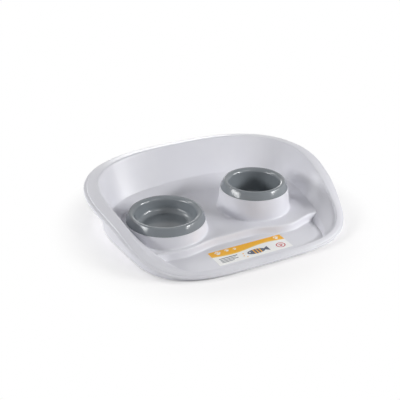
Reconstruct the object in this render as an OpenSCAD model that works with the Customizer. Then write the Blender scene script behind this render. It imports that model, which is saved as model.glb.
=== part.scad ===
/* [Tray outline] */
// Half width of the crest line at the widest section
crest_half_w = 212; // [190:1:235]
// Depth of the crest line in front of the widest section
crest_front = 165; // [150:1:180]
// Depth of the crest line behind the widest section
crest_back = 177; // [160:1:195]
// Squareness of the crest line in front
crest_front_power = 4.2; // [3:0.1:5]
// Squareness of the crest line behind
crest_back_power = 2.6; // [2.2:0.1:3.2]
// Widening of the crest line towards the back, as a share of the half width
crest_flare = 0.11; // [0:0.01:0.16]
// Height of the low front lip above the ground
lip_h = 13; // [11:0.5:16]
// Height of the splash guard at the back above the ground
guard_h = 97; // [80:1:120]

/* [Rim] */
// Radius of the rounded crest
crest_r = 4; // [3:0.5:4.5]
// Outward reach of the turned-down rim along the sides and the back
rim_reach = 25; // [18:1:30]
// Outward reach of the rim at the front lip
lip_reach = 9.5; // [8.5:0.5:12]
// Drop of the rim from the crest to its outer edge
rim_drop = 6.5; // [5:0.5:7]
// Height of the bead that hangs from the outer edge of the rim
bead_h = 3.8; // [3:0.2:4.2]
// Thickness of the bead
bead_t = 2.2; // [1.6:0.1:2.4]

/* [Walls] */
// Thickness of the splash guard wall
wall_t = 2.4; // [2:0.1:2.8]
// Thickness of the floor and the shelf
floor_t = 2.5; // [2:0.1:3]
// Height of the front floor above the ground
floor_z = 5; // [4.7:0.1:6]
// Half width of the floor at the widest section
foot_half_w = 167; // [155:1:172]
// Depth of the floor in front of the widest section
foot_front = 159; // [153:0.5:160]
// Depth of the wall foot behind the widest section
foot_back = 100; // [88:1:110]
// Sideways offset of the floor under the high wall
foot_shift = 12.5; // [0:0.5:14]

/* [Skirt] */
// Thickness of the skirt that hangs from the crest
skirt_t = 2; // [1.6:0.1:2.4]
// Gap between the skirt and the ground
skirt_gap = 1; // [0.6:0.1:1.5]
// Toe of the skirt outside the crest line at the front lip
skirt_toe = 6; // [5:0.1:6.2]
// Inward lean of the skirt per unit of height
skirt_lean_share = 0.165; // [0.1:0.005:0.2]

/* [Shelf] */
// Height of the raised shelf above the ground
shelf_z = 18.5; // [16:0.5:20]
// Half width of the flat part of the shelf
shelf_half_w = 169; // [155:1:172]
// Depth of the flat part of the shelf behind the widest section
shelf_back = 102; // [90:1:112]
// Place of the shelf edge between the bowls, along the depth
wave_y = -92.5; // [-96:0.5:-84]
// How far the shelf edge swells in front of the food bowl
food_wave = 12; // [12:0.5:15]
// How far the shelf edge swells in front of the water bowl
water_wave = 17; // [8:0.5:20]

/* [Food bowl] */
// Place of the food bowl across the width
food_x = -116.5; // [-119:0.5:-112]
// Place of the food bowl along the depth
food_y = -21; // [-24:0.5:-16]
// Radius of the crest of the food bowl rim
food_rim_r = 63.4; // [58:0.2:64]
// Height of the food bowl rim crest above the ground
food_rim_z = 55; // [50:0.5:60]
// Depth of the food bowl inside
food_depth = 28; // [24:0.5:31]

/* [Water bowl] */
// Place of the water bowl across the width
water_x = 74; // [66:0.5:80]
// Place of the water bowl along the depth
water_y = -12; // [-16:0.5:-4]
// Radius of the crest of the water bowl rim
water_rim_r = 55.3; // [50:0.2:58]
// Height of the water bowl rim crest above the ground
water_rim_z = 73; // [66:0.5:80]
// Depth of the water bowl inside
water_depth = 52; // [40:0.5:56]

/* [Bowl rims] */
// Height of the turned-down band of a bowl rim
band_h = 14.2; // [12:0.2:16]
// Outward slope of the band from the crest to its lower edge
band_out = 8.9; // [7.5:0.1:10]
// Thickness of the bowl shell
bowl_t = 2.2; // [1.8:0.1:2.6]
// Radius of the broad shoulder inside the crest
shoulder_r = 8; // [6:0.5:9]
// Inward lean of the bowl wall, from the shoulder to the rounded corner
bowl_lean = 3; // [1.5:0.5:5]

/* [Collars] */
// Thickness of the collar wall
collar_t = 2.5; // [2:0.1:3]
// Narrow white margin of the collar outside the bowl band
collar_margin = 0.6; // [0.3:0.1:0.8]
// Outward spread of the collar per unit of its height
collar_spread_share = 0.1; // [0.06:0.005:0.1]
// Radius of the fillet between a collar and the shelf
collar_fillet = 3.6; // [2:0.2:3.6]
// Depth of the sleeve that centres the bowl in its collar
sleeve_h = 7; // [5:0.5:9]
// Clearance between a bowl and its sleeve
bowl_clearance = 0.8; // [0.4:0.1:1.2]

/* [Feet] */
// Diameter of a rubber foot
foot_d = 16; // [12:0.5:18]
// Height of a rubber foot
foot_h = 2.5; // [2:0.1:2.5]
// Distance of the feet from the widest part of the floor
foot_side_inset = 47; // [41:1:65]
// Distance of the front feet from the front of the floor
foot_front_inset = 27.75; // [25:0.25:34]
// Distance of the rear feet from the back of the wall foot
foot_rear_inset = 24.25; // [22.25:0.25:31]
// Wall of the post that carries a rear foot
post_t = 2; // [1.6:0.1:2.4]

/* [Label] */
// Width of the label on the front floor
label_w = 148; // [120:1:152]
// Depth of the label on the front floor
label_d = 46; // [36:1:47]
// Place of the label centre across the width
label_x = -6; // [-12:1:6]
// Distance of the label centre from the front of the floor
label_front_inset = 35.75; // [34.75:0.25:36.25]
// Thickness of the label
label_t = 0.3; // [0.2:0.05:0.4]

/* [Hidden] */

// Stations round the tray, and how far a cut runs past what it cuts
station_n = 96;
shelf_station_n = 60;
overrun = 1;
round_fn = 96;

// Centre of the outlines, which puts the middle of the whole object on the origin
outline_y = (crest_front + lip_reach - crest_back - rim_reach) / 2;

// Places of the feet and of the label
label_y = outline_y - foot_front + label_front_inset;
foot_x = foot_half_w - foot_side_inset;
foot_front_y = outline_y - foot_front + foot_front_inset;
foot_rear_y = outline_y + foot_back - foot_rear_inset;

// Squareness of the wall foot and of the shelf, and their widening towards the back
foot_front_power = 8;
foot_back_power = 3.2;
foot_flare = 0.1;

// How the crest climbs from the lip to the guard, at even steps along the depth
rise_shares = [0, 0.24, 0.6, 0.8, 0.92, 1];
rise_steps = len(rise_shares) - 1;

// How the wall bends, from the low front to the high back, above a straight strip at its foot
wall_bend_front = 0.45;
wall_bend_gain = 0.77;
knee_share = 0.3;
wall_shares = [0, knee_share, 0.45, 0.64, 0.83, 1];
under_count = 4;

// Angles of the rounded crest, from the inside over the top to the rim
crest_angles = [165, 130, 95, 62];

// Top of the rim, as shares of its reach and of its drop, with the groove that sets off the outer strip
rim_shares = [[0.44, 0.26], [0.73, 0.6], [0.765, 0.78], [0.95, 0.93], [1, 1.1]];
under_rim_share = [0.44, 0.26];

// Distance from the centre of an outline to its edge, in the direction p
function reach(p, half_w, front, back, front_power, back_power) =
    let (s = sin(p))
    let (depth = s < 0 ? front : back)
    let (power = s < 0 ? front_power : back_power)
    pow(pow(abs(cos(p)) / half_w, power) + pow(abs(s) / depth, power), -1 / power);

// Point of an outline in the direction p
function outline(p, half_w, front, back, front_power, back_power, flare) =
    let (r = reach(p, half_w, front, back, front_power, back_power))
    let (y = r * sin(p))
    [r * cos(p) * (1 + flare * y / back), y + outline_y];

function crest(p) =
    outline(p, crest_half_w, crest_front, crest_back, crest_front_power, crest_back_power, crest_flare);

// Outward direction of the crest line, square to it
function outward(p) =
    let (d = crest(p + 1) - crest(p - 1))
    [d.y, -d.x] / norm(d);

// Smooth curve through the rise shares
function share_at(i) = rise_shares[max(0, min(rise_steps, i))];
function rise_at(t) =
    let (i = min(rise_steps - 1, floor(t * rise_steps)))
    let (f = t * rise_steps - i)
    let (m = (share_at(i + 1) - share_at(i - 1)) / 2)
    let (n = (share_at(i + 2) - share_at(i)) / 2)
    (2 * f ^ 3 - 3 * f ^ 2 + 1) * share_at(i) + (f ^ 3 - 2 * f ^ 2 + f) * m
    + (3 * f ^ 2 - 2 * f ^ 3) * share_at(i + 1) + (f ^ 3 - f ^ 2) * n;
function rise(p) =
    rise_at(max(0, min(1, (crest(p).y - outline_y + crest_front) / (crest_front + crest_back))));
function crest_z(p) = lip_h + (guard_h - lip_h) * rise(p);

// Foot of the wall, moved sideways under the high wall
function foot(p) =
    outline(p, foot_half_w, foot_front, foot_back, foot_front_power, foot_back_power, foot_flare)
    - [foot_shift * rise(p), 0];

// Inner face of the wall at a share u of its width
foot_z = floor_z - overrun;
function wall_bend(p) = wall_bend_front + wall_bend_gain * rise(p);
function wall_top(p) = crest(p) + crest_r * cos(crest_angles[0]) * outward(p);
function wall_top_z(p) = crest_z(p) - crest_r + crest_r * sin(crest_angles[0]);
function wall_plan(p, u) = foot(p) + (wall_top(p) - foot(p)) * u;
function knee_z_share(p) = pow(knee_share, wall_bend(p));
function climb(p, u) = u < knee_share ? u / knee_share * knee_z_share(p) : pow(u, wall_bend(p));
function wall_z(p, u) = foot_z + (wall_top_z(p) - foot_z) * climb(p, u);
function wall_share(p, z) =
    let (f = max(0, min(1, (z - foot_z) / (wall_top_z(p) - foot_z))))
    f < knee_z_share(p) ? knee_share * f / knee_z_share(p) : pow(f, 1 / wall_bend(p));

// Reach of the rim, which narrows with the height of the crest towards the front lip
full_rim_share = 0.8;
function rim_out(p) = lip_reach + (rim_reach - lip_reach) * min(1, rise(p) / full_rim_share);

function lift(xy, z) = [xy.x, xy.y, z];

// One cross-section of the wall, the rim and the skirt, from the wall foot outwards and back underneath
half_t = wall_t / sqrt(2);
foot_edge_out = floor_t / 4;
function section(p) =
    let (c = crest(p))
    let (n = outward(p))
    let (z = crest_z(p))
    let (out = rim_out(p))
    let (toe = skirt_toe - skirt_lean_share * (z - lip_h))
    let (top = z - rim_drop * under_rim_share[1] - wall_t)
    concat(
        [for (u = wall_shares) lift(wall_plan(p, u), wall_z(p, u))],
        [for (i = [1 : len(crest_angles) - 1])
            lift(c + crest_r * cos(crest_angles[i]) * n, z - crest_r + crest_r * sin(crest_angles[i]))],
        [for (s = rim_shares) lift(c + out * s[0] * n, z - rim_drop * s[1])],
        [lift(c + out * n, z - rim_drop - bead_h),
         lift(c + (out - bead_t) * n, z - rim_drop - bead_h),
         lift(c + (out - bead_t) * n, z - rim_drop - wall_t),
         lift(c + out * under_rim_share[0] * n, top),
         lift(c + skirt_t / 2 * n, top - skirt_t / 2),
         lift(c + toe * n, skirt_gap),
         lift(c + (toe - skirt_t) * n, skirt_gap),
         lift(c - skirt_t / 2 * n, z - crest_r - skirt_t)],
        [for (i = [under_count - 1 : -1 : 1])
            lift(wall_plan(p, wall_shares[i]) + half_t * n, wall_z(p, wall_shares[i]) - half_t)],
        [lift(foot(p) + foot_edge_out * n, foot_z - foot_edge_out)]
    );

// Closed band that joins the sections at all stations
module wall_band() {
    rings = [for (i = [0 : station_n - 1]) section(360 * i / station_n)];
    m = len(rings[0]);
    faces = [for (i = [0 : station_n - 1], j = [0 : m - 1])
        let (k = (i + 1) % station_n)
        let (l = (j + 1) % m)
        each [[i * m + j, k * m + j, k * m + l], [i * m + j, k * m + l, i * m + l]]];
    polyhedron([for (r = rings) each r], faces);
}

// Edge of the shelf, which swells forward in front of each bowl
food_wave_shift = -3.5;
water_wave_shift = 17;
food_wave_x = food_x + food_wave_shift;
water_wave_x = water_x + water_wave_shift;
food_wave_w = 75;
water_wave_w = 72;
wave_n = 30;
cut_n = 26;
wave_half_w = foot_half_w + wall_t;
wave_end = 150;
function swell(t) = abs(t) < 1 ? (1 + cos(180 * t)) / 2 : 0;
function swells(x) = food_wave * swell((x - food_wave_x) / food_wave_w)
    + water_wave * swell((x - water_wave_x) / water_wave_w);
function wave(x) = wave_y - swells(max(-wave_end, min(wave_end, x)));
function wave_line(n, shift) = [for (i = [0 : n])
    let (x = wave_half_w * (2 * i / n - 1)) [x, wave(x) + shift]];

// Rounded step between the shelf and the front floor
edge_r = 4.5;
step_foot_r = 4;
step_draft = 2;
step_t = 2;
step_tongue = 3;
seam = 0.12;
step_lap = 0.6;
tongue_in = floor_t / 3;
edge_angles = [98, 130, 165];
step_foot_angles = [-15, -50, -82];

// Area behind the shelf edge, or in front of it, as a flat outline
module cut_by_wave(shift, far_y) {
    polygon(concat(
        wave_line(cut_n, shift),
        [[crest_half_w, wave_y + shift], [crest_half_w, far_y],
         [-crest_half_w, far_y], [-crest_half_w, wave_y + shift]]));
}
module behind_wave(shift) cut_by_wave(shift, crest_back);
module before_wave(shift) cut_by_wave(shift, -crest_half_w);

module front_floor() {
    translate([0, 0, floor_z - floor_t])
        linear_extrude(floor_t)
            intersection() {
                polygon([for (i = [0 : station_n - 1])
                    let (p = 360 * i / station_n) foot(p) + wall_t * outward(p)]);
                before_wave(-step_draft - step_foot_r);
            }
}

// Flat shelf with a border that slopes up to the wall
shelf_front = 130;
shelf_front_power = 4;
border_rise = 25.5;
border_start = 6.5;
border_least = 0.5;
function shelf_edge(p) =
    outline(p, shelf_half_w, shelf_front, shelf_back, shelf_front_power, foot_back_power, foot_flare)
    - [foot_shift * rise(p), 0];
function border_z(p) = shelf_z + max(border_least, border_rise * rise(p) - border_start);
function border_edge(p) = wall_plan(p, wall_share(p, border_z(p))) + half_t / 2 * outward(p);

module shelf_pan() {
    n = shelf_station_n;
    stations = [for (i = [0 : n - 1]) 360 * (i + 0.5) / n];
    points = concat(
        [[0, outline_y, shelf_z], [0, outline_y, shelf_z - floor_t]],
        [for (p = stations) lift(shelf_edge(p), shelf_z)],
        [for (p = stations) lift(border_edge(p), border_z(p))],
        [for (p = stations) lift(border_edge(p), border_z(p) - half_t)],
        [for (p = stations) lift(shelf_edge(p), shelf_z - floor_t)]);
    faces = [for (i = [0 : n - 1])
        let (k = (i + 1) % n)
        each concat(
            [[0, 2 + k, 2 + i], [1, 2 + 3 * n + i, 2 + 3 * n + k]],
            [for (j = [0 : 2])
                let (a = 2 + j * n)
                each [[a + i, a + k, a + n + k], [a + i, a + n + k, a + n + i]]])];
    polyhedron(points, faces);
}

module shelf() {
    intersection() {
        shelf_pan();
        linear_extrude(guard_h) behind_wave(edge_r - step_lap);
    }
}

// Cross-section of the step, as places along the depth and heights
function step_top(r) = [for (a = edge_angles)
    [edge_r + r * cos(a), shelf_z - seam - edge_r + r * sin(a)]];
function step_bottom(r) = [for (a = step_foot_angles)
    [-step_draft - step_foot_r + r * cos(a), floor_z - seam + step_foot_r + r * sin(a)]];
step_front = concat(step_top(edge_r), step_bottom(step_foot_r));
step_back = concat(step_top(edge_r - step_t), step_bottom(step_foot_r + step_t));
step_ends = [
    [edge_r + step_tongue, shelf_z - tongue_in],
    [-step_draft - step_foot_r - step_tongue, floor_z - tongue_in],
    [-step_draft - step_foot_r - step_tongue, floor_z - 2 * tongue_in],
    [edge_r + step_tongue, shelf_z - 2 * tongue_in]];
step_section = concat([step_ends[0]], step_front, [step_ends[1], step_ends[2]],
    [for (i = [len(step_back) - 1 : -1 : 0]) step_back[i]], [step_ends[3]]);

// Side of the step, in the middle of the wall at the same depth and height
side_tries = 4;
function wall_angle(y, z, p, tries) =
    let (w = wall_plan(p, wall_share(p, z)))
    tries == 0 ? p : wall_angle(y, z, p + (y - w.y) / w.x * 180 / PI, tries - 1);
function step_side(side, s) =
    let (y = wave(side * foot_half_w) + s[0])
    let (p = wall_angle(y, s[1], 90 - side * 90, side_tries))
    wall_plan(p, wall_share(p, s[1])).x + half_t / 2 * outward(p).x;

module step() {
    m = len(step_section);
    left = [for (s = step_section) step_side(-1, s)];
    right = [for (s = step_section) step_side(1, s)];
    points = [for (i = [0 : wave_n], j = [0 : m - 1])
        let (x = left[j] + (right[j] - left[j]) * i / wave_n)
        [x, wave(x) + step_section[j][0], step_section[j][1]]];
    sides = [for (i = [0 : wave_n - 1], j = [0 : m - 1])
        let (l = (j + 1) % m)
        each [[i * m + j, (i + 1) * m + l, i * m + l], [i * m + j, (i + 1) * m + j, (i + 1) * m + l]]];
    caps = [[for (j = [0 : m - 1]) j], [for (j = [m - 1 : -1 : 0]) wave_n * m + j]];
    polyhedron(points, concat(sides, caps));
}

// Bowl: heights and radii that the bowl and its collar share
bowl_corner_r = 12;
bowl_crest_r = 4;
corner_angles = [-90, -72, -54, -36, -18];
shoulder_angles = [165, 150, 135, 120, 105];
bowl_crest_angles = [90, 65, 40];
shoulder_draft = 0.2;
shoulder_in = shoulder_r + shoulder_draft;
function ledge_z(rim_z) = rim_z - band_h;
corner_end = corner_angles[len(corner_angles) - 1];
function corner_x(rim_r) = rim_r - shoulder_in - bowl_lean - bowl_corner_r * cos(corner_end);
function corner_point(rim_r, inside_z, r, a) =
    [corner_x(rim_r) + r * cos(a), inside_z + bowl_corner_r + r * sin(a)];
function wall_high(rim_r, rim_z, t) = [rim_r - shoulder_in + t, rim_z - shoulder_r];
function wall_low(rim_r, rim_z, depth, t) =
    corner_point(rim_r, rim_z - depth, bowl_corner_r + t, corner_end);
function body_r(rim_r, rim_z, depth) =
    let (low = wall_low(rim_r, rim_z, depth, bowl_t))
    let (high = wall_high(rim_r, rim_z, bowl_t))
    low.x + (high.x - low.x) * (ledge_z(rim_z) - low.y) / (high.y - low.y);

// One face of the bowl shell, set back from the inner face by t
function shell_face(rim_r, rim_z, depth, t) = concat(
    [[0, rim_z - depth - t]],
    [for (a = corner_angles) corner_point(rim_r, rim_z - depth, bowl_corner_r + t, a)],
    [wall_high(rim_r, rim_z, t)],
    [for (a = shoulder_angles) [rim_r, rim_z - shoulder_r] + (shoulder_r - t) * [cos(a), sin(a)]],
    [for (a = bowl_crest_angles) [rim_r, rim_z - bowl_crest_r] + (bowl_crest_r - t) * [cos(a), sin(a)]],
    [[rim_r + band_out - t, ledge_z(rim_z)]]);

module bowl(rim_r, rim_z, depth) {
    inner = shell_face(rim_r, rim_z, depth, 0);
    outer = shell_face(rim_r, rim_z, depth, bowl_t);
    rotate_extrude($fn = round_fn)
        polygon(concat(inner, [for (i = [len(outer) - 1 : -1 : 0]) outer[i]]));
}

// Collar that a bowl hangs in: outer wall, ledge under the bowl band, and centring sleeve
collar_edge_r = 0.8;
fillet_angles = [-90, -112.5, -135, -157.5, -180];
function collar_top_r(rim_r) = rim_r + band_out + collar_margin;
function collar_base_r(rim_r, rim_z) =
    collar_top_r(rim_r) + collar_spread_share * (ledge_z(rim_z) - shelf_z);

module collar(rim_r, rim_z, depth) {
    ledge = ledge_z(rim_z);
    top_r = collar_top_r(rim_r);
    base_r = collar_base_r(rim_r, rim_z);
    bore_r = body_r(rim_r, rim_z, depth) + bowl_clearance;
    sink_z = shelf_z - floor_t / 2;
    rotate_extrude($fn = round_fn)
        polygon(concat(
            [[base_r - collar_t, sink_z], [base_r + collar_fillet, sink_z]],
            [for (a = fillet_angles)
                [base_r + collar_fillet, shelf_z + collar_fillet] + collar_fillet * [cos(a), sin(a)]],
            [[top_r, ledge - collar_edge_r], [top_r - collar_edge_r, ledge],
             [bore_r, ledge], [bore_r, ledge - sleeve_h],
             [bore_r + collar_t, ledge - sleeve_h], [bore_r + collar_t, ledge - collar_t],
             [top_r - collar_t, ledge - collar_t]]));
}

// Space inside a collar, under its ledge
module collar_space(rim_r, rim_z) {
    top = ledge_z(rim_z) - collar_t;
    base_r = collar_base_r(rim_r, rim_z);
    rotate_extrude($fn = round_fn)
        polygon([[0, -overrun], [base_r - collar_t, -overrun],
                 [base_r - collar_t, shelf_z],
                 [collar_top_r(rim_r) - collar_t, top], [0, top]]);
}

// Posts for the rear feet and stiffening ribs, all under the shelf
foot_plug_d = foot_d - 2 * post_t;
foot_plug_h = 6;
foot_fit = 0.15;
post_d = foot_d + 2 * foot_fit;
post_bore_d = foot_plug_d + 2 * foot_fit;
rib_t = 2;
rib_z = 9;
food_side_x = food_x + collar_base_r(food_rim_r, food_rim_z);
water_side_x = water_x - collar_base_r(water_rim_r, water_rim_z);
rib_x = (food_side_x + water_side_x) / 2;
rib_back_y = foot_rear_y + foot_d;

module rear_post(x) {
    translate([x, foot_rear_y, foot_h])
        difference() {
            cylinder(h = shelf_z - floor_t / 2 - foot_h, d = post_d, $fn = round_fn);
            translate([0, 0, -overrun])
                cylinder(h = shelf_z - floor_t - foot_h + overrun, d = post_bore_d, $fn = round_fn);
        }
}

module ribs() {
    rib_h = shelf_z - floor_t / 2 - rib_z;
    translate([-foot_x, rib_back_y, rib_z]) cube([2 * foot_x, rib_t, rib_h]);
    translate([rib_x, wave_y + edge_r, rib_z]) cube([rib_t, rib_back_y - wave_y - edge_r, rib_h]);
}

module tray() color("whitesmoke") {
    difference() {
        union() {
            wall_band();
            shelf();
            step();
            ribs();
            for (side = [-1, 1]) rear_post(side * foot_x);
        }
        translate([food_x, food_y, 0]) collar_space(food_rim_r, food_rim_z);
        translate([water_x, water_y, 0]) collar_space(water_rim_r, water_rim_z);
    }
    front_floor();
    translate([food_x, food_y, 0]) collar(food_rim_r, food_rim_z, food_depth);
    translate([water_x, water_y, 0]) collar(water_rim_r, water_rim_z, water_depth);
}

module food_bowl() color("slategray")
    translate([food_x, food_y, 0]) bowl(food_rim_r, food_rim_z, food_depth);

module water_bowl() color("slategray")
    translate([water_x, water_y, 0]) bowl(water_rim_r, water_rim_z, water_depth);

// Printed label stuck on the front floor
label_corner_r = 1.5;
label_corner_fn = 24;
module label() color("orange")
    translate([label_x, label_y, floor_z])
        linear_extrude(label_t)
            hull()
                for (sx = [-1, 1], sy = [-1, 1])
                    translate([sx * (label_w / 2 - label_corner_r), sy * (label_d / 2 - label_corner_r)])
                        circle(r = label_corner_r, $fn = label_corner_fn);

// Rubber feet: flat pads in front, pads with a plug at the back
foot_round = 0.6;
module foot_pad() {
    rotate_extrude($fn = round_fn)
        polygon([[0, 0], [foot_d / 2 - foot_round, 0], [foot_d / 2, foot_round],
                 [foot_d / 2, foot_h], [0, foot_h]]);
}
module plug_foot(x) {
    translate([x, foot_rear_y, 0]) {
        foot_pad();
        cylinder(h = foot_h + foot_plug_h, d = foot_plug_d, $fn = round_fn);
    }
}
module front_left_foot() color("dimgray") translate([-foot_x, foot_front_y, 0]) foot_pad();
module front_right_foot() color("dimgray") translate([foot_x, foot_front_y, 0]) foot_pad();
module rear_left_foot() color("dimgray") plug_foot(-foot_x);
module rear_right_foot() color("dimgray") plug_foot(foot_x);

tray();
food_bowl();
water_bowl();
label();
front_left_foot();
front_right_foot();
rear_left_foot();
rear_right_foot();
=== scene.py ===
import math

import bmesh
import bpy
from mathutils import Matrix, Vector


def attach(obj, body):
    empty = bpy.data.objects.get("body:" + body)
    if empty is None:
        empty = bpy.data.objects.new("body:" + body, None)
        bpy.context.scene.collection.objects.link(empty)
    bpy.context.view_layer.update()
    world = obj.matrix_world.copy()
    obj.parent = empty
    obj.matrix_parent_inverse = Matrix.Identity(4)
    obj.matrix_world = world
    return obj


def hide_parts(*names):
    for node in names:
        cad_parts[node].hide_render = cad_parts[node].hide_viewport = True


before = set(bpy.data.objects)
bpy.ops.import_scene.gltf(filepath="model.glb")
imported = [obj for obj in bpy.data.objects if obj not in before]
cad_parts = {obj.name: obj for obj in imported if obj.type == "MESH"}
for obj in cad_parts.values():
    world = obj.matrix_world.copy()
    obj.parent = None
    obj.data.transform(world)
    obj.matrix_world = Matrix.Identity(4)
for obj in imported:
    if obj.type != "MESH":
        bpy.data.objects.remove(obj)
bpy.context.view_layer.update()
print("frame loaded:", sorted(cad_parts))

mm = 0.001  # all shapes below are written in millimetres and scaled once
normalWeight = 60  # of large faces, where the shading is evened out


# small mesh tools

def meshObject(name, points, faces):
    mesh = bpy.data.meshes.new(name)
    mesh.from_pydata([tuple(p) for p in points], [], faces)
    shape = bmesh.new()
    shape.from_mesh(mesh)
    if shape.calc_volume(signed=True) < 0:  # faces look outwards
        bmesh.ops.reverse_faces(shape, faces=shape.faces)
        shape.to_mesh(mesh)
    shape.free()
    made = bpy.data.objects.new(name, mesh)
    bpy.context.scene.collection.objects.link(made)
    return made


def ringFaces(rings, size):
    faces = []
    for i in range(rings):
        nextI = (i + 1) % rings
        for j in range(size):
            nextJ = (j + 1) % size
            faces.append([i * size + j, nextI * size + j, nextI * size + nextJ, i * size + nextJ])
    return faces


def revolve(name, profile, centre, segments):
    # profile runs outside first; points on the axis become single vertices
    points = []
    starts = []
    for r, z in profile:
        starts.append(len(points))
        if r == 0:
            points.append((centre[0], centre[1], z))
            continue
        for i in range(segments):
            a = 2 * math.pi * i / segments
            points.append((centre[0] + r * math.cos(a), centre[1] + r * math.sin(a), z))
    faces = []
    count = len(profile)
    for j in range(count):
        here = starts[j]
        there = starts[(j + 1) % count]
        onAxis = (profile[j][0] == 0, profile[(j + 1) % count][0] == 0)
        if all(onAxis):
            continue
        for i in range(segments):
            k = (i + 1) % segments
            if onAxis[0]:
                faces.append([here, there + i, there + k])
            elif onAxis[1]:
                faces.append([here + i, there, here + k])
            else:
                faces.append([here + i, there + i, there + k, here + k])
    return meshObject(name, points, faces)


def arc(centre, radius, start, end, steps):
    places = []
    for i in range(steps + 1):
        a = math.radians(start + (end - start) * i / steps)
        places.append((centre[0] + radius * math.cos(a), centre[1] + radius * math.sin(a)))
    return places


def combine(base, other, operation):
    cut = base.modifiers.new("combine", "BOOLEAN")
    cut.operation = operation
    cut.solver = "MANIFOLD"
    cut.object = other
    shape = base.evaluated_get(bpy.context.evaluated_depsgraph_get())
    mesh = bpy.data.meshes.new_from_object(shape)
    base.modifiers.remove(cut)
    base.data = mesh
    bpy.data.objects.remove(other)
    return base


def keepMainShell(made):
    # a union can leave a sliver beside the moulding
    shape = bmesh.new()
    shape.from_mesh(made.data)
    seen = set()
    shells = []
    for start in shape.faces:
        if start in seen:
            continue
        seen.add(start)
        shell = [start]
        for face in shell:  # the list grows while it is walked
            for edge in face.edges:
                for other in edge.link_faces:
                    if other not in seen:
                        seen.add(other)
                        shell.append(other)
        shells.append(shell)
    shells.sort(key=len)
    loose = [face for shell in shells[:-1] for face in shell]
    bmesh.ops.delete(shape, geom=loose, context="FACES")
    shape.to_mesh(made.data)
    shape.free()
    print("loose faces taken away:", len(loose))


def finishPiece(made, body, nodes, look, sharpAngle):
    made.data.transform(Matrix.Scale(mm, 4))
    for face in made.data.polygons:
        face.use_smooth = True
    made.data.set_sharp_from_angle(angle=math.radians(sharpAngle))
    weigh = made.modifiers.new("even normals", "WEIGHTED_NORMAL")
    weigh.keep_sharp = True
    weigh.weight = normalWeight
    made.data.materials.clear()
    made.data.materials.append(look)
    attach(made, body)
    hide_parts(*nodes)
    print("piece", made.name, "has", len(made.data.polygons), "faces")
    return made


# shader tools

class Wire:  # one socket that takes part in sums
    def __init__(self, graph, socket):
        self.graph = graph
        self.socket = socket

    def maths(self, operation, *values):
        return self.graph.add("ShaderNodeMath", {"operation": operation}, list(values))

    def __add__(self, other):
        return self.maths("ADD", self, other)

    def __radd__(self, other):
        return self.maths("ADD", other, self)

    def __sub__(self, other):
        return self.maths("SUBTRACT", self, other)

    def __rsub__(self, other):
        return self.maths("SUBTRACT", other, self)

    def __mul__(self, other):
        return self.maths("MULTIPLY", self, other)

    def __rmul__(self, other):
        return self.maths("MULTIPLY", other, self)

    def __truediv__(self, other):
        return self.maths("DIVIDE", self, other)

    def __rtruediv__(self, other):
        return self.maths("DIVIDE", other, self)

    def __pow__(self, other):
        return self.maths("POWER", self, other)

    def __rpow__(self, other):
        return self.maths("POWER", other, self)

    def __abs__(self):
        return self.maths("ABSOLUTE", self)

    def sine(self):
        return self.maths("SINE", self)

    def most(self, *others):
        whole = self
        for other in others:
            whole = self.maths("MAXIMUM", whole, other)
        return whole

    def above(self, limit, soft):
        # 0 below the limit and 1 above it, with a soft edge
        settings = {"interpolation_type": "SMOOTHSTEP"}
        return self.graph.add("ShaderNodeMapRange", settings, [self, limit - soft, limit + soft, 0.0, 1.0])

    def beside(self, name):  # another socket of the same node
        return Wire(self.graph, self.socket.node.outputs[name])


class Graph:  # the nodes of one material or of the world
    def __init__(self, tree):
        self.tree = tree
        tree.nodes.clear()

    def add(self, kind, settings, sockets, out=0):
        node = self.tree.nodes.new(kind)
        for name, value in settings.items():
            setattr(node, name, value)
        pairs = sockets.items() if isinstance(sockets, dict) else enumerate(sockets)
        for name, value in pairs:
            if isinstance(value, Wire):
                self.tree.links.new(value.socket, node.inputs[name])
            else:
                node.inputs[name].default_value = value
        return Wire(self, node.outputs[out]) if node.outputs else node

    def place(self):  # object coordinates
        return self.add("ShaderNodeTexCoord", {}, {}, out="Object")

    def noise(self, scale, detail, roughness=0.5):
        sockets = {"Vector": self.place(), "Scale": scale, "Detail": detail, "Roughness": roughness}
        return self.add("ShaderNodeTexNoise", {}, sockets)

    def blend(self, share, first, second):
        # the Mix node's sockets for colours are its inputs 6 and 7 and its output 2
        return self.add("ShaderNodeMix", {"data_type": "RGBA"}, {0: share, 6: first, 7: second}, out=2)

    def bump(self, height, strength, distance):
        sockets = {"Height": height, "Strength": strength, "Distance": distance}
        return self.add("ShaderNodeBump", {}, sockets)

    def surface(self, shader):
        self.add("ShaderNodeOutputMaterial", {}, {"Surface": shader})


def colour(red, green, blue):
    # sRGB values from 0 to 255, as a linear colour
    linear = []
    for part in (red, green, blue):
        c = part / 255
        linear.append(c / 12.92 if c <= 0.04045 else ((c + 0.055) / 1.055) ** 2.4)
    return (*linear, 1.0)


def newLook(name):
    look = bpy.data.materials.new(name)
    look.use_nodes = True
    return look, Graph(look.node_tree)


noiseMiddle = 0.5  # what a noise gives on average


# moulded plastic of the tray; a noise is its scale, its detail and how rough it is

trayPlastic = {
    "tone": colour(233, 233, 238),
    "shade": colour(226, 226, 233),
    "toneSoft": 0.25,
    "roughness": 0.33,
    "roughnessSpread": 0.06,
    "ior": 1.49,
    "flow": (9.0, 3.0),
    "flowShare": 0.6,  # of the bump, the rest is grain
    "grain": (1400.0, 2.0),
    "grainStrength": 0.04,
    "grainDepth": 0.0002,
    "rub": (70.0, 5.0, 0.65),
}


# glossy grey plastic of the bowls

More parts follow.
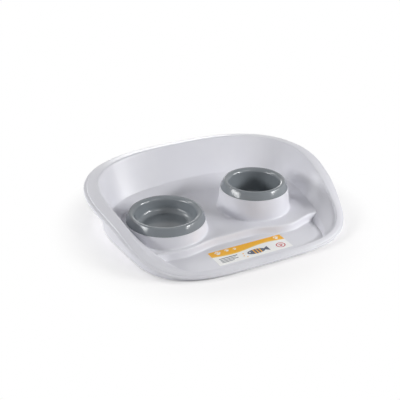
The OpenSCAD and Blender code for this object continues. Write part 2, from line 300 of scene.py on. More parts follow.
bowlPlastic = {
    "tone": colour(132, 138, 143),
    "shade": colour(126, 132, 137),
    "toneSoft": 0.25,
    "roughness": 0.17,
    "roughnessSpread": 0.07,
    "ior": 1.5,
    "flow": (16.0, 3.0),
    "flowShare": 0.0,
    "grain": (1100.0, 2.0),
    "grainStrength": 0.03,
    "grainDepth": 0.0002,
    "rub": (90.0, 6.0, 0.7),
}


# rubber of the feet

footRubber = {
    "tone": colour(96, 97, 100),
    "shade": colour(82, 83, 87),
    "toneSoft": 0.2,
    "roughness": 0.7,
    "roughnessSpread": 0.2,
    "ior": 1.5,
    "flow": (400.0, 4.0),
    "flowShare": 0.0,
    "grain": (900.0, 4.0),
    "grainStrength": 0.35,
    "grainDepth": 0.0002,
    "rub": (400.0, 4.0),
}


def mouldedLook(name, c):
    look, g = newLook(name)
    flow = g.noise(*c["flow"])
    grain = g.noise(*c["grain"])
    rub = g.noise(*c["rub"])
    tone = g.blend(flow.above(noiseMiddle, c["toneSoft"]), c["tone"], c["shade"])
    waves = flow * c["flowShare"] + grain * (1 - c["flowShare"])
    roughness = c["roughness"] + (rub - noiseMiddle) * c["roughnessSpread"]
    g.surface(g.add("ShaderNodeBsdfPrincipled", {}, {
        "Base Color": tone, "Roughness": roughness, "IOR": c["ior"],
        "Normal": g.bump(waves, c["grainStrength"], c["grainDepth"])}))
    return look


# printed label on the front floor

labelPrint = {
    "centre": (-6.0, -137.0),
    "paper": colour(253, 253, 251),
    "band": colour(255, 186, 22),
    "bandLight": colour(252, 206, 96),
    "ink": colour(98, 102, 112),
    "fish": colour(92, 100, 116),
    "spot": colour(200, 32, 48),
    "roughness": 0.32,
    "roughnessSpread": 0.1,
    "grain": (2500.0, 3.0),
    "grainStrength": 0.05,
    "grainDepth": 0.0001,
    "inkSoft": 0.15,
    # all places below are in millimetres from the middle of the label: an oval is its middle and
    # two radii, a bar its left, right, low and high edge, and a paw its middle and its scale
    "waveRate": 0.045,
    "waveH": 4.0,
    "bandY": 8.0,
    "bandLightY": 5.6,
    "paws": ((-58.0, 15.0, 1.4), (-39.0, 17.0, 1.0), (-24.0, 15.5, 0.8), (62.0, 15.5, 1.2)),
    "pawPad": (-1.2, 2.6, 2.1),
    "pawToe": (0.95, 1.3),
    "pawToes": ((-3.2, 1.4), (-1.2, 3.1), (1.2, 3.1), (3.2, 1.4)),
    "lines": (
        (-66.0, -30.0, -5.2, -2.8), (-66.0, -36.0, -9.4, -7.6),
        (-66.0, -32.0, -13.2, -11.4), (-66.0, -42.0, -17.0, -15.2)),
    "fishBody": (6.0, -9.0, 18.0, 7.5),
    "fishEye": (-6.5, -7.5, 1.5, 1.5),
    "tailX": (19.0, 31.0),
    "tailSpread": 0.62,
    "stripes": ((1.0, 3.4, -20.0, 0.0), (7.0, 9.4, -20.0, 0.0), (13.0, 15.4, -20.0, 0.0)),
    "crumbs": ((-19.0, -6.0, 1.6, 1.6), (-21.0, -13.0, 1.3, 1.3), (-16.5, -17.5, 1.1, 1.1)),
    "ring": (56.0, -10.0, 9.0, 8.0),
    "ringHole": (56.0, -10.0, 7.0, 6.2),
    "ringPaw": (56.0, -10.4, 1.0),
}


def labelLook():
    look, g = newLook("printedLabel")
    c = labelPrint
    split = g.add("ShaderNodeSeparateXYZ", {}, [g.place()])
    x = (split - c["centre"][0] * mm) / mm
    y = (split.beside("Y") - c["centre"][1] * mm) / mm

    def inside(shape):  # 1 where a distance in millimetres is negative
        return 1 - shape.above(0.0, c["inkSoft"])

    def oval(cx, cy, rx, ry):
        u = (x - cx) / rx
        v = (y - cy) / ry
        return inside((u * u + v * v) ** 0.5 * min(rx, ry) - min(rx, ry))

    def bar(x0, x1, y0, y1):
        across = abs(x - (x0 + x1) / 2) - (x1 - x0) / 2
        along = abs(y - (y0 + y1) / 2) - (y1 - y0) / 2
        return inside(across.most(along))

    def paw(cx, cy, s):
        dy, rx, ry = c["pawPad"]
        toeX, toeY = c["pawToe"]
        toes = [oval(cx + tx * s, cy + ty * s, toeX * s, toeY * s) for tx, ty in c["pawToes"]]
        return oval(cx, cy + dy * s, rx * s, ry * s).most(*toes)

    def together(draw, places):
        first, *others = [draw(*place) for place in places]
        return first.most(*others)

    # a waved band with paw prints above the bars
    swing = (x * c["waveRate"]).sine() * c["waveH"]
    band = inside(c["bandY"] - y + swing)
    edge = (inside(c["bandLightY"] - y + swing) - band).most(0.0)
    paint = g.blend(band, c["paper"], c["band"])
    paint = g.blend(edge, paint, c["bandLight"])
    paint = g.blend(together(paw, c["paws"]) * band, paint, c["paper"])
    paint = g.blend(together(bar, c["lines"]), paint, c["ink"])
    # a fish with stripes on its side, and crumbs before it
    fish = oval(*c["fishBody"])
    fromFish = abs(y - c["fishBody"][1])
    tail = inside((fromFish - (x - c["tailX"][0]) * c["tailSpread"]).most(x - c["tailX"][1]))
    paint = g.blend(fish.most(tail), paint, c["fish"])
    paint = g.blend(together(bar, c["stripes"]) * fish, paint, c["band"])
    paint = g.blend(oval(*c["fishEye"]), paint, c["paper"])
    paint = g.blend(together(oval, c["crumbs"]), paint, c["band"])
    # a ring with a paw in it
    ring = oval(*c["ring"]) - oval(*c["ringHole"])
    paint = g.blend(ring.most(paw(*c["ringPaw"])), paint, c["spot"])
    grain = g.noise(*c["grain"])
    g.surface(g.add("ShaderNodeBsdfPrincipled", {}, {
        "Base Color": paint,
        "Roughness": c["roughness"] + (grain - noiseMiddle) * c["roughnessSpread"],
        "Normal": g.bump(grain, c["grainStrength"], c["grainDepth"])}))
    return look


# tray: wall, rim and skirt

tray = {
    # powers say how square an outline is in front and at the back, a flare how much it widens to the back
    "crestHalfW": 212.0, "crestFront": 165.0, "crestBack": 177.0,
    "crestPowers": (4.2, 2.6), "crestFlare": 0.11,
    "lipH": 13.0, "guardH": 97.0,
    "crestR": 4.0, "rimReach": 25.0, "lipReach": 9.5, "rimDrop": 6.5,
    "beadH": 3.8, "beadT": 2.2, "wallT": 2.4, "floorT": 2.5, "floorZ": 5.0, "footSink": 1.0,
    "footHalfW": 167.0, "footFront": 159.0, "footBack": 100.0, "footShift": 12.5,
    "footPowers": (8.0, 3.2), "footFlare": 0.1,
    "skirtT": 2.0, "skirtGap": 1.0, "skirtToe": 6.0, "skirtLean": 0.165, "toeR": 0.5,
    "riseShares": (0.0, 0.24, 0.6, 0.8, 0.92, 1.0),  # of the climb, at even steps from front to back
    "bendFront": 0.45, "bendGain": 0.77,  # under 1 the wall is convex, over 1 concave
    "fullRimShare": 0.8, "kneeShare": 0.3, "kneeRound": 0.02,
    "crestStart": 165, "crestAngles": range(153, 61, -13),
    "skirtTopShare": 0.26, "hookShare": 0.44, "beadR": 0.6, "beadEase": 0.18,
    "backTop": 0.7, "backPower": 1.3,
    "stations": 300, "wallSteps": 24, "skirtSteps": 10, "backSteps": 14,
}
outlineY = (tray["crestFront"] + tray["lipReach"] - tray["crestBack"] - tray["rimReach"]) / 2
halfT = tray["wallT"] / math.sqrt(2)
footZ = tray["floorZ"] - tray["footSink"]


def outline(p, halfW, front, back, powers, flare):
    s = math.sin(math.radians(p))
    c = math.cos(math.radians(p))
    depth, power = (front, powers[0]) if s < 0 else (back, powers[1])
    r = ((abs(c) / halfW) ** power + (abs(s) / depth) ** power) ** (-1 / power)
    y = r * s
    return Vector((r * c * (1 + flare * y / back), y + outlineY))


def crest(p):
    t = tray
    return outline(p, t["crestHalfW"], t["crestFront"], t["crestBack"], t["crestPowers"], t["crestFlare"])


def outward(p):
    d = crest(p + 1) - crest(p - 1)
    return Vector((d.y, -d.x)).normalized()


def riseAt(t):
    shares = tray["riseShares"]
    steps = len(shares) - 1
    i = min(steps - 1, int(t * steps))
    f = t * steps - i
    at = [shares[max(0, min(steps, k))] for k in (i - 1, i, i + 1, i + 2)]
    m = (at[2] - at[0]) / 2
    n = (at[3] - at[1]) / 2
    low = (2 * f ** 3 - 3 * f ** 2 + 1) * at[1] + (f ** 3 - 2 * f ** 2 + f) * m
    return low + (3 * f ** 2 - 2 * f ** 3) * at[2] + (f ** 3 - f ** 2) * n


def rise(p):
    t = tray
    share = (crest(p).y - outlineY + t["crestFront"]) / (t["crestFront"] + t["crestBack"])
    return riseAt(max(0.0, min(1.0, share)))


def crestZ(p):
    return tray["lipH"] + (tray["guardH"] - tray["lipH"]) * rise(p)


def foot(p):
    t = tray
    place = outline(p, t["footHalfW"], t["footFront"], t["footBack"], t["footPowers"], t["footFlare"])
    return place - Vector((t["footShift"] * rise(p), 0))


def wallBend(p):
    return tray["bendFront"] + tray["bendGain"] * rise(p)


def wallTop(p):
    return crest(p) + tray["crestR"] * math.cos(math.radians(tray["crestStart"])) * outward(p)


def wallTopZ(p):
    return crestZ(p) - tray["crestR"] + tray["crestR"] * math.sin(math.radians(tray["crestStart"]))


def wallPlan(p, u):
    return foot(p) + (wallTop(p) - foot(p)) * u


def wallZ(p, u):
    # straight up to the knee, bent above it
    knee = tray["kneeShare"]
    climb = u / knee * knee ** wallBend(p) if u < knee else u ** wallBend(p)
    return footZ + (wallTopZ(p) - footZ) * climb


def wallShare(p, z):
    knee = tray["kneeShare"]
    share = max(0.0, min(1.0, (z - footZ) / (wallTopZ(p) - footZ)))
    if share < knee ** wallBend(p):
        return knee * share / knee ** wallBend(p)
    return share ** (1 / wallBend(p))


def lift(xy, z):
    return (xy.x, xy.y, z)


# points of the rim, as shares of its reach and of its drop
rimShares = (
    (0.2, 0.09), (0.32, 0.17), (0.44, 0.26), (0.55, 0.37), (0.65, 0.49), (0.72, 0.585),
    (0.735, 0.66), (0.75, 0.75), (0.768, 0.785), (0.85, 0.84), (0.93, 0.9), (0.97, 0.98),
    (0.992, 1.08), (1.0, 1.2))


def wallSection(p):
    t = tray
    c = crest(p)
    n = outward(p)
    z = crestZ(p)
    share = min(1.0, rise(p) / t["fullRimShare"])
    out = t["lipReach"] + (t["rimReach"] - t["lipReach"]) * share
    toe = t["skirtToe"] - t["skirtLean"] * (z - t["lipH"])
    top = z - t["rimDrop"] * t["skirtTopShare"] - t["wallT"]
    low = z - t["rimDrop"] - t["beadH"]
    # the wall, from the floor over the knee to the crest
    knee = t["kneeShare"]
    soft = t["kneeRound"]
    shares = [0.0, knee / 2, knee - soft, knee, knee + soft]
    steps = t["wallSteps"]
    shares += [knee + soft + (1 - knee - soft) * i / steps for i in range(1, steps + 1)]
    points = [lift(wallPlan(p, u), wallZ(p, u)) for u in shares]

    def put(d, h):
        points.append(lift(c + d * n, h))

    for angle in t["crestAngles"]:
        r = math.radians(angle)
        put(t["crestR"] * math.cos(r), z - t["crestR"] + t["crestR"] * math.sin(r))
    for reachShare, dropShare in rimShares:
        put(out * reachShare, z - t["rimDrop"] * dropShare)
    # round the bead and back under the rim
    inner = out - t["beadT"]
    r = t["beadR"]
    ease = t["beadEase"]
    put(out, low + r)
    put(out - ease, low + ease)
    put(out - r, low)
    put(inner + r, low)
    put(inner + ease, low + ease)
    put(inner, low + r)
    put(inner, z - t["rimDrop"] - t["wallT"])
    put(out * t["hookShare"], top)
    # down the skirt, round its toe and up inside
    put(t["skirtT"] / 2, top - t["skirtT"] / 2)
    for i in range(1, t["skirtSteps"]):
        f = i / t["skirtSteps"]
        reach = t["skirtT"] / 2 + (toe - t["skirtT"] / 2) * f
        put(reach, (top - t["skirtT"] / 2) * (1 - f) + t["skirtGap"] * f)
    put(toe, t["skirtGap"] + t["toeR"])
    put(toe - t["toeR"], t["skirtGap"])
    put(toe - t["skirtT"] + t["toeR"], t["skirtGap"])
    put(toe - t["skirtT"], t["skirtGap"] + t["toeR"])
    put(-t["skirtT"] / 2, z - t["crestR"] - t["skirtT"])
    # the back of the wall, down to the floor
    for i in range(t["backSteps"], 0, -1):
        u = t["backTop"] * (i / t["backSteps"]) ** t["backPower"]
        points.append(lift(wallPlan(p, u) + halfT * n, wallZ(p, u) - halfT))
    points.append(lift(foot(p) + t["floorT"] / 4 * n, footZ - t["floorT"] / 4))
    return points


def wallBand():
    count = tray["stations"]
    rings = [wallSection(360 * i / count) for i in range(count)]
    points = [q for ring in rings for q in ring]
    return meshObject("wallBand", points, ringFaces(count, len(rings[0])))


# tray: shelf, step and front floor

shelf = {
    "z": 18.5, "halfW": 169.0, "front": 130.0, "back": 102.0, "frontPower": 4.0,
    "borderRise": 25.5, "borderStart": 6.5, "borderLeast": 0.5, "blendReach": 4.0,
    "waveY": -92.5, "foodWave": 12.0, "waterWave": 17.0, "waveEnd": 150.0,
    "foodWaveX": -120.0, "waterWaveX": 91.0, "foodWaveW": 75.0, "waterWaveW": 72.0,
    "edgeR": 4.5, "footR": 4.0, "draft": 2.0, "stepT": 2.0, "tongue": 3.0,
    "edgeAngles": (92, 168), "footAngles": (-12, -88), "edgeSteps": 8, "footSteps": 7, "backSteps": 4,
    "overlap": 0.6, "sideTries": 6,
    "blendMost": 0.8, "blendSteps": 6, "seam": 0.02, "stations": 240, "columns": 150,
    # the shapes that cut the pan and the floor along the step
    "panColumns": 174, "floorColumns": 178, "cutFront": -220, "cutBack": 177,
    "cutLow": -5, "cutFloorTop": 60, "cutPanTop": 97,
}


def shelfEdge(p):
    s = shelf
    powers = (s["frontPower"], tray["footPowers"][1])
    place = outline(p, s["halfW"], s["front"], s["back"], powers, tray["footFlare"])
    return place - Vector((tray["footShift"] * rise(p), 0))


def borderZ(p):
    return shelf["z"] + max(shelf["borderLeast"], shelf["borderRise"] * rise(p) - shelf["borderStart"])


def borderEdge(p):
    return wallPlan(p, wallShare(p, borderZ(p))) + halfT / 2 * outward(p)


def swell(t):
    return (1 + math.cos(math.pi * t)) / 2 if abs(t) < 1 else 0.0


def wave(x):
    s = shelf
    x = max(-s["waveEnd"], min(s["waveEnd"], x))
    food = s["foodWave"] * swell((x - s["foodWaveX"]) / s["foodWaveW"])
    water = s["waterWave"] * swell((x - s["waterWaveX"]) / s["waterWaveW"])
    return s["waveY"] - food - water


def waveLine(count, shift):
    halfW = tray["crestHalfW"]
    xs = [halfW * (2 * i / count - 1) for i in range(count + 1)]
    return [(x, wave(x) + shift) for x in xs]


def prism(name, flat, low, high):
    count = len(flat)
    points = [(x, y, low) for x, y in flat] + [(x, y, high) for x, y in flat]
    faces = [list(range(count - 1, -1, -1)), list(range(count, 2 * count))]
    for i in range(count):
        k = (i + 1) % count
        faces.append([i, k, count + k, count + i])
    return meshObject(name, points, faces)


def shelfPan():
    s = shelf
    count = s["stations"]
    stations = [360 * (i + 0.5) / count for i in range(count)]
    rings = []
    for level in range(s["blendSteps"] + 1):
        f = level / s["blendSteps"]
        ring = []
        for p in stations:
            edge = Vector(lift(shelfEdge(p), s["z"]))
            far = Vector(lift(borderEdge(p), borderZ(p)))
            reach = min(s["blendReach"], (far - edge).length * s["blendMost"])
            run = (far - edge).normalized() * reach
            flat = Vector((run.x, run.y, 0)).normalized() * s["blendReach"]
            a, b = edge - flat, edge + run
            ring.append(a * (1 - f) ** 2 + edge * 2 * f * (1 - f) + b * f ** 2)
        rings.append(ring)
    rings.append([Vector(lift(borderEdge(p), borderZ(p))) for p in stations])
    rings.append([Vector(lift(borderEdge(p), borderZ(p) - halfT)) for p in stations])
    rings.append([Vector(lift(shelfEdge(p), s["z"] - tray["floorT"])) for p in stations])
    points = [tuple(q) for ring in rings for q in ring]
    faces = [list(range(count)), [len(points) - 1 - i for i in range(count)]]
    for r in range(len(rings) - 1):
        for i in range(count):
            k = (i + 1) % count
            faces.append([r * count + k, r * count + i, (r + 1) * count + i, (r + 1) * count + k])
    return meshObject("shelfPan", points, faces)


def stepProfile():
    s = shelf
    top = (s["edgeR"], s["z"] - s["seam"] - s["edgeR"])
    bottom = (-s["draft"] - s["footR"], tray["floorZ"] - s["seam"] + s["footR"])
    front = arc(top, s["edgeR"], *s["edgeAngles"], s["edgeSteps"])
    front += arc(bottom, s["footR"], *s["footAngles"], s["footSteps"])
    back = arc(top, s["edgeR"] - s["stepT"], *s["edgeAngles"], s["backSteps"])
    back += arc(bottom, s["footR"] + s["stepT"], *s["footAngles"], s["backSteps"])
    third = tray["floorT"] / 3
    rear = s["edgeR"] + s["tongue"]
    fore = -s["draft"] - s["footR"] - s["tongue"]
    tip = [(fore, tray["floorZ"] - third), (fore, tray["floorZ"] - 2 * third)]
    return [(rear, s["z"] - third)] + front + tip + back[::-1] + [(rear, s["z"] - 2 * third)]


def stepSide(side, place):
    # how far the step reaches into the wall, found in a few tries
    y = wave(side * tray["footHalfW"]) + place[0]
    p = 0 if side > 0 else 180
    for _ in range(shelf["sideTries"]):
        w = wallPlan(p, wallShare(p, place[1]))
        p += math.degrees((y - w.y) / w.x)
    return wallPlan(p, wallShare(p, place[1])).x + halfT / 2 * outward(p).x


def step():
    profile = stepProfile()
    size = len(profile)
    left = [stepSide(-1, q) for q in profile]
    right = [stepSide(1, q) for q in profile]
    count = shelf["columns"]
    points = []
    for i in range(count + 1):
        for j, (dy, z) in enumerate(profile):
            x = left[j] + (right[j] - left[j]) * i / count
            points.append((x, wave(x) + dy, z))
    faces = [list(range(size)), [count * size + j for j in range(size - 1, -1, -1)]]
    for i in range(count):
        for j in range(size):
            nextJ = (j + 1) % size
            faces.append([i * size + j, (i + 1) * size + j, (i + 1) * size + nextJ, i * size + nextJ])
    return meshObject("step", points, faces)


def frontFloor():
    s = shelf
    t = tray
    count = t["stations"]
    flat = []
    for i in range(count):
        p = 360 * i / count
        q = foot(p) + t["wallT"] * outward(p)
        flat.append((q.x, q.y))
    plate = prism("frontFloor", flat, t["floorZ"] - t["floorT"], t["floorZ"])
    line = waveLine(s["floorColumns"], -s["draft"] - s["footR"])
    flat = [(line[-1][0], s["cutFront"]), *line[::-1], (line[0][0], s["cutFront"])]
    return combine(plate, prism("front", flat, s["cutLow"], s["cutFloorTop"]), "INTERSECT")


# tray: collars, ribs and posts

food = {"centre": (-116.5, -21.0), "rimR": 63.4, "rimZ": 55.0, "depth": 28.0}
water = {"centre": (74.0, -12.0), "rimR": 55.3, "rimZ": 73.0, "depth": 52.0}
rim = {
    "bandH": 14.2, "bandOut": 8.9, "shellT": 2.2, "shoulderR": 8.0, "shoulderIn": 8.2,
    "lean": 3.0, "crestR": 4.0, "cornerR": 12.0, "bandBulge": 0.2,
    # arcs as two angles in degrees and their steps, first on the seen side and then on the side below
    "corner": (-90, -15, 16), "shoulder": (168, 94, 18), "crest": (90, 40, 10),
    "cornerBelow": (-90, -18, 14), "shoulderBelow": (160, 96, 8), "crestBelow": (90, 40, 5),
    # how far in from the widest place and how far above the ledge
    "bandEnd": (0.12, 0.75), "bandEdge": ((0.1, 0.35), (0.3, 0.05), (0.7, 0.0)),
    "insideEdge": (0.3, 0.4),  # how far out from the inner face of the band and how far above the ledge
    "bandSteps": 9, "segments": 220,
}
collar = {
    "wallT": 2.5, "margin": 0.6, "spreadShare": 0.1, "fillet": 3.6, "sleeveH": 7.0,
    "clearance": 0.8, "edgeR": 0.8, "sleeveEdge": 0.4, "under": -2.0, "segments": 180,
    "filletArc": (-92, -176, 9), "edgeArc": (8, 90, 4),
}


def cornerX(bowl):
    last = math.radians(rim["cornerBelow"][1])
    return bowl["rimR"] - rim["shoulderIn"] - rim["lean"] - rim["cornerR"] * math.cos(last)


def bowlHeights(bowl):
    # the ledge it rests on, its radius there, and the collar's radii at the top and at the foot
    ledge = bowl["rimZ"] - rim["bandH"]
    outer = rim["cornerR"] + rim["shellT"]
    last = math.radians(rim["cornerBelow"][1])
    low = (cornerX(bowl) + outer * math.cos(last),
           bowl["rimZ"] - bowl["depth"] + rim["cornerR"] + outer * math.sin(last))
    high = (bowl["rimR"] - rim["shoulderIn"] + rim["shellT"], bowl["rimZ"] - rim["shoulderR"])
    bodyR = low[0] + (high[0] - low[0]) * (ledge - low[1]) / (high[1] - low[1])
    topR = bowl["rimR"] + rim["bandOut"] + collar["margin"]
    return ledge, bodyR, topR, topR + collar["spreadShare"] * (ledge - shelf["z"])


def bowlCollar(name, bowl):
    c = collar
    ledge, bodyR, topR, baseR = bowlHeights(bowl)
    boreR = bodyR + c["clearance"]
    sink = shelf["z"] - tray["floorT"] / 2
    profile = [(baseR - c["wallT"], sink), (baseR + c["fillet"], sink)]
    filletC = (baseR + c["fillet"], shelf["z"] + c["fillet"] - shelf["seam"])
    profile += arc(filletC, c["fillet"], *c["filletArc"])
    profile += arc((topR - c["edgeR"], ledge - c["edgeR"]), c["edgeR"], *c["edgeArc"])
    # down the sleeve that centres the bowl, and back under the ledge
    e = c["sleeveEdge"]
    end = ledge - c["sleeveH"]
    profile += [(boreR + e, ledge), (boreR, ledge - e), (boreR, end + e), (boreR + e, end)]
    profile += [(boreR + c["wallT"], end), (boreR + c["wallT"], ledge - c["wallT"])]
    profile += [(topR - c["wallT"], ledge - c["wallT"])]
    return revolve(name, profile, bowl["centre"], c["segments"])


def collarSpace(name, bowl):
    ledge, _, topR, baseR = bowlHeights(bowl)
    t = collar["wallT"]
    low = collar["under"]
    profile = [(0, low), (baseR - t, low), (baseR - t, shelf["z"]), (topR - t, ledge - t), (0, ledge - t)]
    return revolve(name, profile, bowl["centre"], collar["segments"])


under = {
    "ribT": 2.0, "ribZ": 9.0, "ribLap": 1, "footX": 120.0, "rearY": 62.0, "frontY": -145.0,
    "footD": 16.0, "footH": 2.5, "plugGap": 0.15, "plugWall": 2, "postEdge": 0.3, "postSegments": 64,
}


def slab(name, x0, x1, y0, y1, z0, z1):
    return prism(name, [(x0, y0), (x1, y0), (x1, y1), (x0, y1)], z0, z1)


def rearPost(name, x):
    u = under
    outer = u["footD"] / 2 + u["plugGap"]
    inner = u["footD"] / 2 - u["plugWall"] + u["plugGap"]
    top = shelf["z"] - tray["floorT"] / 2
    hole = shelf["z"] - tray["floorT"]
    e = u["postEdge"]
    profile = [(inner, u["footH"] + e), (inner + e, u["footH"]), (outer - e, u["footH"])]
    profile += [(outer, u["footH"] + e), (outer, top), (0, top), (0, hole), (inner, hole)]
    return revolve(name, profile, (x, u["rearY"]), u["postSegments"])


def buildTray():
    body = wallBand()
    print("tray wall made")
    s = shelf
    line = waveLine(s["panColumns"], s["edgeR"] - s["overlap"])
    flat = [*line, (line[-1][0], s["cutBack"]), (line[0][0], s["cutBack"])]
    behind = prism("behind", flat, s["cutLow"], s["cutPanTop"])
    combine(body, combine(shelfPan(), behind, "INTERSECT"), "UNION")
    combine(body, step(), "UNION")
    u = under
    ribTop = s["z"] - tray["floorT"] / 2
    backY = u["rearY"] + u["footD"]
    foodBase = bowlHeights(food)[3]
    waterBase = bowlHeights(water)[3]
    ribX = (food["centre"][0] + foodBase + water["centre"][0] - waterBase) / 2
    rib = slab("backRib", -u["footX"], u["footX"], backY, backY + u["ribT"], u["ribZ"], ribTop)
    combine(body, rib, "UNION")
    foreY = s["waveY"] + s["edgeR"]
    rib = slab("midRib", ribX, ribX + u["ribT"], foreY, backY + u["ribLap"], u["ribZ"], ribTop)
    combine(body, rib, "UNION")
    for side in (-1, 1):
        combine(body, rearPost("post", side * u["footX"]), "UNION")
    print("shelf, step, ribs and posts joined")
    for bowl in (food, water):
        combine(body, collarSpace("space", bowl), "DIFFERENCE")
    for bowl in (food, water):
        combine(body, bowlCollar("collar", bowl), "UNION")
    combine(body, frontFloor(), "UNION")
    keepMainShell(body)
    print("collars and floor joined")
    body.name = "trayMoulding"
    return body


# bowls

def buildBowl(name, bowl):
    r = rim
    t = r["shellT"]
    inside = bowl["rimZ"] - bowl["depth"]
    corner = (cornerX(bowl), inside + r["cornerR"])
    crestC = (bowl["rimR"], bowl["rimZ"] - r["crestR"])
    shoulderC = (bowl["rimR"], bowl["rimZ"] - r["shoulderR"])
    ledge = bowl["rimZ"] - r["bandH"]
    outR = bowl["rimR"] + r["bandOut"]
    wallR = bowl["rimR"] - r["shoulderIn"]
    top = [(0, inside)] + arc(corner, r["cornerR"], *r["corner"])
    top += arc(shoulderC, r["shoulderR"], *r["shoulder"])
    top += arc(crestC, r["crestR"], *r["crest"])
    # the band round the outside, a little crowned
    start = Vector(top[-1])
    end = Vector((outR - r["bandEnd"][0], ledge + r["bandEnd"][1]))
    side = Vector((start.y - end.y, end.x - start.x)).normalized() * r["bandBulge"]
    for i in range(1, r["bandSteps"]):
        f = i / r["bandSteps"]
        top.append(tuple(start + (end - start) * f + side * 4 * f * (1 - f)))
    top += [tuple(end)] + [(outR - d, ledge + h) for d, h in r["bandEdge"]]
    below = [(0, inside - t)] + arc(corner, r["cornerR"] + t, *r["cornerBelow"])
    below += [(wallR + t, shoulderC[1])] + arc(shoulderC, r["shoulderR"] - t, *r["shoulderBelow"])
    below += arc(crestC, r["crestR"] - t, *r["crestBelow"])
    edgeOut, edgeH = r["insideEdge"]
    below += [(outR - t, ledge + edgeH), (outR - t + edgeOut, ledge)]
    return revolve(name, below + top[::-1], bowl["centre"], r["segments"])


# feet

gripRings = {"radii": (2.0, 4.0, 6.0), "halfW": 0.5, "halfBottom": 0.25, "depth": 0.4}
footShape = {"edgeR": 0.6, "edgeArc": (-90, 0, 5), "plugEdge": 0.5, "plugH": 6.0, "segments": 72}


def buildFoot(name, x, y, plugH):
    r = under["footD"] / 2
    h = under["footH"]
    g = gripRings
    f = footShape
    profile = [(0, 0)]
    for ring in g["radii"]:
        profile += [(ring - g["halfW"], 0), (ring - g["halfBottom"], g["depth"])]
        profile += [(ring + g["halfBottom"], g["depth"]), (ring + g["halfW"], 0)]
    profile += arc((r - f["edgeR"], f["edgeR"]), f["edgeR"], *f["edgeArc"]) + [(r, h)]
    if plugH:
        plugR = r - under["plugWall"]
        profile += [(plugR, h), (plugR, h + plugH - f["plugEdge"])]
        profile += [(plugR - f["plugEdge"], h + plugH), (0, h + plugH)]
    else:
        profile += [(0, h)]
    return revolve(name, profile, (x, y), f["segments"])


# assembly

whitePlastic = mouldedLook("whitePlastic", trayPlastic)
greyPlastic = mouldedLook("greyPlastic", bowlPlastic)
greyRubber = mouldedLook("greyRubber", footRubber)
printedLabel = labelLook()
print("looks ready")

sharp = {"tray": 32, "bowl": 40, "foot": 35}  # edges steeper than this stay crisp, in degrees
finishPiece(buildTray(), "tray", ["tray"], whitePlastic, sharp["tray"])
for name, bowl, node in (("foodBowl", food, "food_bowl"), ("waterBowl", water, "water_bowl")):
    finishPiece(buildBowl(name, bowl), node, [node], greyPlastic, sharp["bowl"])
feet = (
    ("frontLeftFoot", -under["footX"], under["frontY"], 0.0, "front_left_foot"),
    ("frontRightFoot", under["footX"], under["frontY"], 0.0, "front_right_foot"),
    ("rearLeftFoot", -under["footX"], under["rearY"], footShape["plugH"], "rear_left_foot"),
    ("rearRightFoot", under["footX"], under["rearY"], footShape["plugH"], "rear_right_foot"),
)
for name, x, y, plugH, node in feet:
    finishPiece(buildFoot(name, x, y, plugH), "tray", [node], greyRubber, sharp["foot"])
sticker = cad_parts["label"]
sticker.data.materials.clear()
sticker.data.materials.append(printedLabel)


# floor, lights and camera

studio = {
    "floorSize": 6.0,  # metres, as all sizes of the studio are
    "floorTone": (0.9, 0.9, 0.9, 1.0),
    "seenTone": (1.22, 1.21, 1.21, 1.0),
    "fadeStart": 0.19,
    "fadeEnd": 0.32,
    "white": (1.0, 1.0, 1.0, 1.0),
    "worldTone": (0.93, 0.95, 1.0, 1.0),
    "worldStrength": 0.04,
    "lampTarget": (0, 0, 0.03),
    "lamps": (
        # name, azimuth, elevation, distance, width, height, power
        ("rightStrip", 54.0, 23.5, 1.9, 1.2, 0.3, 27.5),
        ("leftStrip", -98.0, 20.0, 1.9, 1.2, 0.3, 16.5),
        ("frontFill", 10.0, 44.0, 1.9, 0.8, 0.5, 3.8),
        ("rearLeft", -140.0, 42.0, 1.9, 0.7, 0.4, 6.8),
        ("rearRight", 160.0, 12.0, 1.9, 0.7, 0.4, 4.4),
    ),
}


def showingRays(g):
    # 1 for the rays that show the background: from the camera, in reflections and through clear parts
    path = g.add("ShaderNodeLightPath", {}, {}, out="Is Camera Ray")
    return path.most(path.beside("Is Glossy Ray"), path.beside("Is Transmission Ray"))


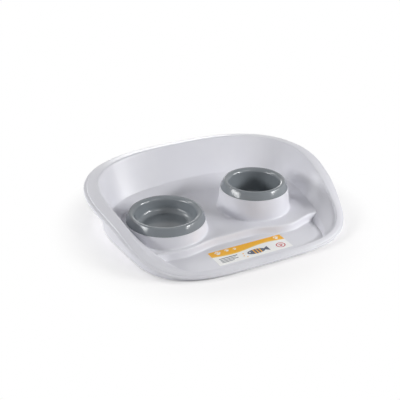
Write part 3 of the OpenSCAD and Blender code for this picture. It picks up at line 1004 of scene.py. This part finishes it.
def buildFloor():
    c = studio
    s = c["floorSize"]
    floor = meshObject("floor", [(-s, -s, 0), (s, -s, 0), (s, s, 0), (-s, s, 0)], [[0, 1, 2, 3]])
    look, g = newLook("paleFloor")
    # it lights the feeder as a plain floor, is seen brighter with its cast shadow on it, and is white far out
    x = g.add("ShaderNodeSeparateXYZ", {}, [g.place()])
    y = x.beside("Y")
    away = (x * x + y * y) ** 0.5
    far = away.above((c["fadeStart"] + c["fadeEnd"]) / 2, (c["fadeEnd"] - c["fadeStart"]) / 2)
    plain = g.add("ShaderNodeBsdfDiffuse", {}, {"Color": c["floorTone"]})
    bright = g.add("ShaderNodeBsdfDiffuse", {}, {"Color": c["seenTone"]})
    glow = g.add("ShaderNodeEmission", {}, {"Color": c["white"], "Strength": 1.0})
    shown = g.add("ShaderNodeMixShader", {}, [far, bright, glow])
    g.surface(g.add("ShaderNodeMixShader", {}, [showingRays(g), plain, shown]))
    floor.data.materials.append(look)


def buildWorld():
    c = studio
    world = bpy.data.worlds.new("studio")
    bpy.context.scene.world = world
    world.use_nodes = True
    g = Graph(world.node_tree)
    soft = g.add("ShaderNodeBackground", {}, {"Color": c["worldTone"], "Strength": c["worldStrength"]})
    white = g.add("ShaderNodeBackground", {}, {"Color": c["white"], "Strength": 1.0})
    shown = g.add("ShaderNodeMixShader", {}, [showingRays(g), soft, white])
    g.add("ShaderNodeOutputWorld", {}, {"Surface": shown})


def direction(azimuth, elevation):
    a = math.radians(azimuth)
    e = math.radians(elevation)
    return Vector((math.sin(a) * math.cos(e), -math.cos(a) * math.cos(e), math.sin(e)))


def aim(made, target, azimuth, elevation, distance):
    back = direction(azimuth, elevation)
    made.location = Vector(target) + back * distance
    made.rotation_euler = (-back).to_track_quat("-Z", "Y").to_euler()


def buildLamps():
    for name, azimuth, elevation, distance, width, height, power in studio["lamps"]:
        lamp = bpy.data.lights.new(name, "AREA")
        lamp.shape = "RECTANGLE"
        lamp.size = width
        lamp.size_y = height
        lamp.energy = power
        made = bpy.data.objects.new(name, lamp)
        bpy.context.scene.collection.objects.link(made)
        aim(made, studio["lampTarget"], azimuth, elevation, distance)


shot = {
    "azimuth": -27.53, "elevation": 26.71, "distance": 1.512, "target": (0.00935, 0.0863, 0.0),
    "lens": 67.7, "sensor": 36, "clipStart": 0.05, "clipEnd": 50,
}


def buildCamera():
    eye = bpy.data.cameras.new("camera")
    eye.lens = shot["lens"]
    eye.sensor_width = shot["sensor"]
    eye.clip_start = shot["clipStart"]
    eye.clip_end = shot["clipEnd"]
    made = bpy.data.objects.new("camera", eye)
    bpy.context.scene.collection.objects.link(made)
    aim(made, shot["target"], shot["azimuth"], shot["elevation"], shot["distance"])
    bpy.context.scene.camera = made


buildFloor()
buildWorld()
buildLamps()
buildCamera()
bpy.context.scene.view_settings.view_transform = "Standard"
print("studio ready")
